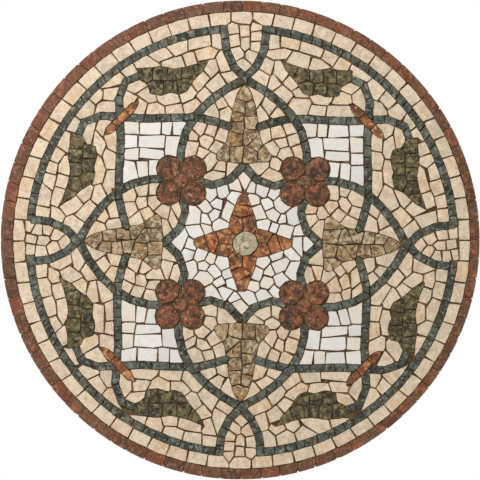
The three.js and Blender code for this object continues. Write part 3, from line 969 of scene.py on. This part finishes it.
def orange_marble(colour, name="orange_marble"):
    """Orange brown with dark and bright blotches and pale veins."""
    stone = Finish(name, colour)
    stone.tones(0.5, 1.25, (1.25, 0.75, 0.5))
    stone.patches((0.06, 0.025, 0.013), 8, 0.5, 0.9)
    stone.patches((0.78, 0.34, 0.13), 7, 0.42, 0.85)
    stone.veins((0.6, 0.36, 0.2), 12, 0.4)
    stone.worn((0.2, 0.1, 0.04), 0.45)
    return stone.made(0.4, 0.65, 1.1, 0.08)


def star_marble(colour):
    """The orange marble of the star and its own colour."""
    return orange_marble(colour, "star_marble")


def petal_marble(colour):
    """Red brown with orange and black blotches, straw flecks and worn edges."""
    stone = Finish("petal_marble", colour)
    stone.tones(0.75, 1.15, (1.45, 1.6, 1.75))
    stone.patches((0.42, 0.125, 0.055), 8, 0.5, 0.9)
    stone.patches((0.028, 0.022, 0.014), 7, 0.5, 0.9)
    stone.specks((0.55, 0.36, 0.2), 6, 0.8)
    stone.worn((0.4, 0.3, 0.19), 0.7)
    return stone.made(0.4, 0.6, 1.1, 0.08)


def centre_granite(colour):
    """Pale stone with olive and cream blotches and dark flecks."""
    stone = Finish("centre_granite", colour)
    stone.tones(0.95, 1.05, (1.0, 0.95, 0.85))
    stone.patches((0.13, 0.12, 0.07), 8, 0.36, 0.85)
    stone.patches((0.8, 0.76, 0.6), 7, 0.36, 0.8)
    stone.specks((0.06, 0.045, 0.025), 4.5, 0.8)
    stone.worn((0.16, 0.12, 0.07), 0.6)
    return stone.made(0.4, 0.6, 1.0, 0.06)


def setting_adhesive(colour):
    """Tan adhesive with dark and pale patches and sand in it."""
    paste = Finish("setting_adhesive", colour)
    paste.patches(shaded(colour, 0.35), 14, 0.55, 0.85)
    paste.patches(shaded(colour, 2.2), 10, 0.3, 0.85)
    paste.specks(shaded(colour, 2.6), 2.5, 0.3)
    return paste.made(0.8, 0.95, 0.9, 0.15)


def net_fibre(colour):
    """Pale glass fibre, dull and tan where adhesive covers it."""
    fibre = Finish("net_fibre", colour)
    fibre.patches(shaded(colour, 0.7), 20, 0.5, 0.6)
    fibre.patches((0.4, 0.3, 0.18), 9, 0.3, 0.6)
    return fibre.made(0.5, 0.7, 0.6, 0.1)


# What each slot is finished with, and in which of the panel's colours
MAKERS = {
    "cream_stone": (cream_limestone, "cream"),
    "white_stone": (white_marble, "white"),
    "red_stone": (red_marble, "red"),
    "green_stone": (green_marble, "green"),
    "olive_stone": (olive_marble, "olive"),
    "ochre_stone": (ochre_limestone, "ochre"),
    "orange_stone": (orange_marble, "orange"),
    "star_stone": (star_marble, "star"),
    "petal_stone": (petal_marble, "petal"),
    "centre_stone": (centre_granite, "centre"),
    "setting_bed": (setting_adhesive, "adhesive"),
    "net": (net_fibre, "net"),
}
FINISHES = {}


def make_finishes():
    """Makes every slot's material in the panel's colours."""
    colours = bpy.context.scene.mosaic_colours
    for kind, (maker, name) in MAKERS.items():
        FINISHES[kind] = maker(tuple(getattr(colours, name)))


# Pieces

def add_piece(name, mesh, finish, slot, *nodes):
    """Puts a mesh into the scene as a piece that stands for the given nodes."""
    piece = bpy.data.objects.new(name, mesh)
    bpy.context.scene.collection.objects.link(piece)
    mesh.materials.append(FINISHES[finish])
    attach(piece, "root")
    if nodes:
        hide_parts(*nodes)


def slot_of(node):
    """The material slot that the record gives a node."""
    for subpart in frame["record"]["subparts"]:
        if subpart["node"] == node:
            return subpart["material_slot"]
    raise RuntimeError(f"no material slot for {node}")


def add_stones(node, stones, seed, **settings):
    """Adds a node's stones as the piece that stands for it."""
    name, slot = node + "_stones", slot_of(node)
    add_piece(name, stone_mesh(name, *stones, seed, **settings), slot, slot, node)


def lay_field(node, stone, seed, uneven=0.2):
    """Fills a node with courses of stones along its edges."""
    width, length = stone
    sites = course_sites(node, width, length)
    joint = bpy.context.scene.mosaic_sizes.joint
    add_stones(node, lay(node, sites, length, width, joint, seed, rounds=2, uneven=uneven), seed)


def nodes_named(prefix):
    """The nodes whose names start with the prefix, in order."""
    return sorted(name for name in frame["nodes"] if name.startswith(prefix))


def half_width(node):
    """The radius of a round node, from its box."""
    low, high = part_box(node)
    return (high.x - low.x) / 2


def ring_sites(centre, radius, count, unevenness, rng):
    """Points round a circle, at uneven steps: each angle is half a step on, plus a random part."""
    angle = (np.arange(count) + 0.5 + rng.normal(0, unevenness, count)) * 2 * math.pi / count
    return np.asarray(centre) + radius * np.stack([np.cos(angle), np.sin(angle)], 1)


class MOSAIC_OT_setting_bed(bpy.types.Operator):
    """Add the setting adhesive between the stones and the net behind it"""

    bl_idname = "mosaic.setting_bed"
    bl_label = "Setting bed"

    def execute(self, context):
        sizes = context.scene.mosaic_sizes
        add_piece("setting_bed_adhesive", bed_mesh(sizes), "setting_bed", "setting_bed", "setting_bed")
        add_piece("setting_net", net_mesh(sizes), "net", "setting_bed")
        return {"FINISHED"}


class MOSAIC_OT_border(bpy.types.Operator):
    """Add the red stones round the edge and the cream ring inside them"""

    bl_idname = "mosaic.border"
    bl_label = "Border and cream ring"

    def execute(self, context):
        rng = np.random.default_rng(SEEDS["rings"])
        self.red_border(context.scene.mosaic_sizes, rng)
        self.cream_ring(context.scene.mosaic_sizes, rng)
        return {"FINISHED"}

    def red_border(self, sizes, rng):
        """One ring of red stones between the rim and the cream ring, with hardly a joint."""
        width = PANEL_RADIUS - half_width("cream_ring")
        length = 2 * math.pi * PANEL_RADIUS / sizes.border_stones
        sites = ring_sites((0, 0), PANEL_RADIUS - width / 2, sizes.border_stones, 0.07, rng)
        seed = SEEDS["border_ring"]
        stones = lay("border_ring", sites, length, width, sizes.border_joint, seed, rounds=0, skew=0.0)
        add_stones("border_ring", stones, seed, drop=0.25 * MILLIMETRE, chips=0.1)

    def cream_ring(self, sizes, rng):
        """One ring of cream stones between the red border and the green bands, and courses of them
        in the wedges, which lie inside the bands' outer circle."""
        outer, inner = half_width("cream_ring"), half_width("interlace")
        radius = (outer + inner) / 2
        centre = (middle_of("cream_ring") + middle_of("interlace")) / 2
        ring = ring_sites(centre, radius, sizes.ring_stones, 0.11, rng)
        across = off_coarse(np.arange(GRID // COARSE))
        places = np.stack(np.meshgrid(across, across))
        inside = np.hypot(*(places - middle_of("interlace")[:, None, None])) < inner
        wedges = course_sites("cream_ring", *WEDGE_STONE, inside)
        sites = np.concatenate([ring, wedges])
        ring_length = 2 * math.pi * radius / sizes.ring_stones
        lengths = np.repeat([ring_length, WEDGE_STONE[1]], [len(ring), len(wedges)])
        widths = np.repeat([outer - inner, WEDGE_STONE[0]], [len(ring), len(wedges)])
        seed = SEEDS["cream_ring"]
        stones = lay("cream_ring", sites, lengths, widths, sizes.joint, seed, rounds=2, skew=0.02)
        add_stones("cream_ring", stones, seed)


class MOSAIC_OT_bands(bpy.types.Operator):
    """Add the dark green stones of the interlace, the leaf stems and the scallop bands"""

    bl_idname = "mosaic.bands"
    bl_label = "Green bands"

    def execute(self, context):
        sizes = context.scene.mosaic_sizes
        length = sizes.band_stone
        nodes = ["interlace"] + nodes_named("leaf_stem") + nodes_named("scallop_band")
        for seed, node in enumerate(nodes, SEEDS["bands"]):
            sites = course_sites(node, BAND_WIDTH, length)
            stones = lay(node, sites, length, BAND_WIDTH, sizes.thin_joint, seed, uneven=0.12)
            add_stones(node, stones, seed)
        return {"FINISHED"}


class MOSAIC_OT_figures(bpy.types.Operator):
    """Add the leaves, the spears, the darts, the flowers, the star and its centre stone"""

    bl_idname = "mosaic.figures"
    bl_label = "Figures"

    def execute(self, context):
        rng = np.random.default_rng(SEEDS["leaves"])
        block = FIGURE_STONE * PATTERN_PIXEL
        for octant, hour in enumerate(OCTANT_HOURS):
            sites = self.scattered(rng, LEAF_STONES, octant // 2, octant % 2 == 1)
            self.figure(f"leaf_{hour}_oclock", sites, block, block, SEEDS["leaves"] + octant)
        for quarter, (side, corner) in enumerate(zip(SIDES, QUARTERS)):
            spear = self.scattered(rng, SPEAR_STONES, quarter)
            sizes = (block * 0.85, block) if quarter % 2 == 0 else (block, block * 0.85)
            self.figure("spear_" + side, spear, *sizes, SEEDS["spears"] + quarter)
            dart = in_pattern(DART_STONES, quarter)
            self.figure("dart_" + corner, dart, block, block, SEEDS["darts"] + quarter, turn=math.pi / 4)
            self.flower("flower_" + corner, SEEDS["flowers"] + quarter)
        star = np.concatenate([self.scattered(rng, STAR_ARM_STONES, quarter) for quarter in range(4)])
        self.figure("star", star, block, block, SEEDS["star"])
        radius = half_width("centre_stone") + 0.3 * MILLIMETRE
        centre = nibbled_stones([middle_of("centre_stone")], [radius], 11, rng)
        add_stones("centre_stone", centre, SEEDS["centre_stone"])
        return {"FINISHED"}

    def scattered(self, rng, places, quarter, mirrored=False):
        """Places of a figure's stones, each about a pixel away from where the plan has it."""
        strayed = np.array(places, float) + rng.normal(0, FIGURE_STRAY, (len(places), 2))
        return in_pattern(strayed, quarter, mirrored)

    def figure(self, node, sites, length, width, seed, turn=0.0):
        """Lays a figure's stones square to the pattern, or turned from it."""
        joint = bpy.context.scene.mosaic_sizes.thin_joint
        angle = PATTERN_TURN + turn
        stones = lay(node, sites, length, width, joint, seed, rounds=1, uneven=0.05, angle=angle)
        add_stones(node, stones, seed)

    def flower(self, node, seed):
        """Four nibbled petals that close in on a smaller round stone and are cut flat towards it
        and towards each other."""
        rng = np.random.default_rng(seed)
        middle = middle_of(node)
        reach = PETAL_REACH * PATTERN_PIXEL
        spread = reach * math.sqrt(2)
        outward = PATTERN_TURN + math.pi / 4 + np.arange(4) * math.pi / 2
        petals = middle + spread * np.stack([np.cos(outward), np.sin(outward)], 1)
        flats = [(outward + math.pi, spread - reach * INNER_FLAT_SHARE)]
        for side in (-SIDE_FLAT_TURN, SIDE_FLAT_TURN):
            flats.append((outward + math.pi + side, reach * SIDE_FLAT_SHARE))
        flats = np.stack([np.stack([facing, np.full(4, distance)], 1) for facing, distance in flats], 1)
        cut = nibbled_stones(petals, np.full(4, reach * 0.93), 5, rng, flats)
        heart = nibbled_stones([middle], [reach * HEART_SHARE], 8, rng)
        stones = [np.concatenate(parts) for parts in zip(cut, heart)]
        add_stones(node, stones, seed, tints=[0.0, 0.2, 0.4, 0.1, 1.0])


class MOSAIC_OT_fields(bpy.types.Operator):
    """Add the cream and white stones of the fields"""

    bl_idname = "mosaic.fields"
    bl_label = "Fields"

    def execute(self, context):
        for seed, node in enumerate(nodes_named("leaf_field"), SEEDS["leaf_fields"]):
            lay_field(node, LEAF_FIELD_STONE, seed)
        small_fields = nodes_named("spear_field") + nodes_named("scallop_field")
        for seed, node in enumerate(small_fields, SEEDS["small_fields"]):
            lay_field(node, SMALL_FIELD_STONE, seed)
        self.white_corners(context.scene.mosaic_sizes.joint)
        lay_field("white_centre_field", WHITE_CENTRE_STONE, SEEDS["white_centre"], uneven=0.25)
        return {"FINISHED"}

    def white_corners(self, joint):
        """Lays each white corner's stones about where the plan has them, square to the pattern."""
        rng = np.random.default_rng(SEEDS["white_corners"])
        planned = np.array(WHITE_CORNER_STONES, float)
        lengths, widths = planned[:, 2:].T * PATTERN_PIXEL
        for quarter, corner in enumerate(QUARTERS):
            node, seed = "white_corner_field_" + corner, SEEDS["white_corners"] + quarter
            places = planned[:, :2] + rng.normal(0, 1.0, (len(planned), 2))
            sites = in_pattern(places, quarter, quarter % 2 == 1)
            stones = lay(
                node, sites, lengths, widths, joint, seed, rounds=0, uneven=0.05, angle=PATTERN_TURN)
            add_stones(node, stones, seed)


class MOSAIC_OT_stage(bpy.types.Operator):
    """Add the pale floor, the lights and the camera"""

    bl_idname = "mosaic.stage"
    bl_label = "Stage"

    def execute(self, context):
        scene = context.scene
        self.camera(scene)
        self.floor(scene)
        self.sky(scene)
        self.lamp(scene, "key_light", (-1.0, -1.3, 1.2), 27.0, 0.6, (0.98, 0.99, 1.0))
        self.lamp(scene, "fill_light", (1.6, -2.4, -0.1), 3.0, 1.4, (1.0, 0.9, 0.78))
        scene.view_settings.view_transform = "Standard"
        return {"FINISHED"}

    def camera(self, scene):
        """A long lens, level with the panel, that frames the photograph's square."""
        camera = bpy.data.cameras.new("camera")
        camera.sensor_width = 36.0
        camera.lens = camera.sensor_width * CAMERA_DISTANCE / (PHOTO_SIDE * PHOTO_PIXEL)
        seat = bpy.data.objects.new("camera", camera)
        right = (PHOTO_SIDE / 2 - DISC_CENTRE_PIXEL[0]) * PHOTO_PIXEL
        up = (DISC_CENTRE_PIXEL[1] - PHOTO_SIDE / 2) * PHOTO_PIXEL
        seat.location = (right, -FACE - CAMERA_DISTANCE, up)
        seat.rotation_euler = (math.pi / 2, 0, 0)
        scene.collection.objects.link(seat)
        scene.camera = seat

    def floor(self, scene):
        """A plain floor that looks paler than the soft light makes it, and lights nothing by that."""
        square = np.array([[-1, -1, 0], [1, -1, 0], [1, 1, 0], [-1, 1, 0]])
        corners = FLOOR_REACH * square + [0, 0, FLOOR_LEVEL]
        mesh = mesh_from("floor", corners, np.array([[0, 1, 2, 3]]))
        paint = bpy.data.materials.new("floor_paint")
        paint.use_nodes = True
        tree = paint.node_tree
        shader = tree.nodes["Principled BSDF"]
        shader.inputs["Base Color"].default_value = (0.9, 0.9, 0.89, 1)
        shader.inputs["Roughness"].default_value = 0.8
        shader.inputs["Emission Color"].default_value = (1.0, 0.99, 0.97, 1)
        ray = tree.nodes.new("ShaderNodeLightPath")
        glow = tree.nodes.new("ShaderNodeMath")
        glow.operation = "MULTIPLY"
        glow.inputs[1].default_value = FLOOR_GLOW
        tree.links.new(ray.outputs["Is Camera Ray"], glow.inputs[0])
        tree.links.new(glow.outputs[0], shader.inputs["Emission Strength"])
        mesh.materials.append(paint)
        floor = bpy.data.objects.new("floor", mesh)
        scene.collection.objects.link(floor)

    def sky(self, scene):
        """A white studio that is seen at full strength and lights the panel with a softer, warm one."""
        world = bpy.data.worlds.new("studio")
        scene.world = world
        world.use_nodes = True
        tree = world.node_tree
        seen = tree.nodes["Background"]
        seen.inputs["Color"].default_value = (1, 1, 1, 1)
        lit = tree.nodes.new("ShaderNodeBackground")
        lit.inputs["Color"].default_value = (1.0, 0.93, 0.84, 1)
        lit.inputs["Strength"].default_value = SKY_STRENGTH
        ray = tree.nodes.new("ShaderNodeLightPath")
        choice = tree.nodes.new("ShaderNodeMixShader")
        tree.links.new(ray.outputs["Is Camera Ray"], choice.inputs[0])
        tree.links.new(lit.outputs[0], choice.inputs[1])
        tree.links.new(seen.outputs[0], choice.inputs[2])
        tree.links.new(choice.outputs[0], tree.nodes["World Output"].inputs["Surface"])

    def lamp(self, scene, name, place, energy, size, colour):
        """A square lamp that points at the middle of the panel."""
        lamp = bpy.data.lights.new(name, "AREA")
        lamp.energy = energy
        lamp.size = size
        lamp.color = colour
        stand = bpy.data.objects.new(name, lamp)
        stand.location = place
        x, y, z = place
        stand.rotation_euler = (math.acos(z / math.hypot(x, y, z)), 0, math.atan2(y, x) + math.pi / 2)
        scene.collection.objects.link(stand)


class MOSAIC_PT_panel(bpy.types.Panel):
    """The sidebar panel that lists the pieces, the sizes and the colours"""

    bl_idname = "MOSAIC_PT_panel"
    bl_label = "Round stone mosaic"
    bl_space_type = "VIEW_3D"
    bl_region_type = "UI"
    bl_category = "Mosaic"

    def draw(self, context):
        for operator in OPERATORS:
            self.layout.operator(operator.bl_idname)
        for group in (context.scene.mosaic_sizes, context.scene.mosaic_colours):
            for name in type(group).__annotations__:
                self.layout.prop(group, name)


OPERATORS = (
    MOSAIC_OT_setting_bed,
    MOSAIC_OT_border,
    MOSAIC_OT_bands,
    MOSAIC_OT_figures,
    MOSAIC_OT_fields,
    MOSAIC_OT_stage,
)
CLASSES = (MosaicSizes, MosaicColours, *OPERATORS, MOSAIC_PT_panel)


def register():
    """Adds the classes, and the panel's sizes and colours to the scene."""
    for made in CLASSES:
        bpy.utils.register_class(made)
    bpy.types.Scene.mosaic_sizes = bpy.props.PointerProperty(type=MosaicSizes)
    bpy.types.Scene.mosaic_colours = bpy.props.PointerProperty(type=MosaicColours)


def unregister():
    """Takes the panel's sizes and colours and the classes away again."""
    del bpy.types.Scene.mosaic_colours
    del bpy.types.Scene.mosaic_sizes
    for made in reversed(CLASSES):
        bpy.utils.unregister_class(made)


def main():
    """Builds every piece and the stage."""
    register()
    make_finishes()
    bpy.ops.mosaic.setting_bed()
    bpy.ops.mosaic.border()
    bpy.ops.mosaic.bands()
    bpy.ops.mosaic.figures()
    bpy.ops.mosaic.fields()
    bpy.ops.mosaic.stage()
    bpy.context.view_layer.update()


if __name__ == "__main__":
    main()
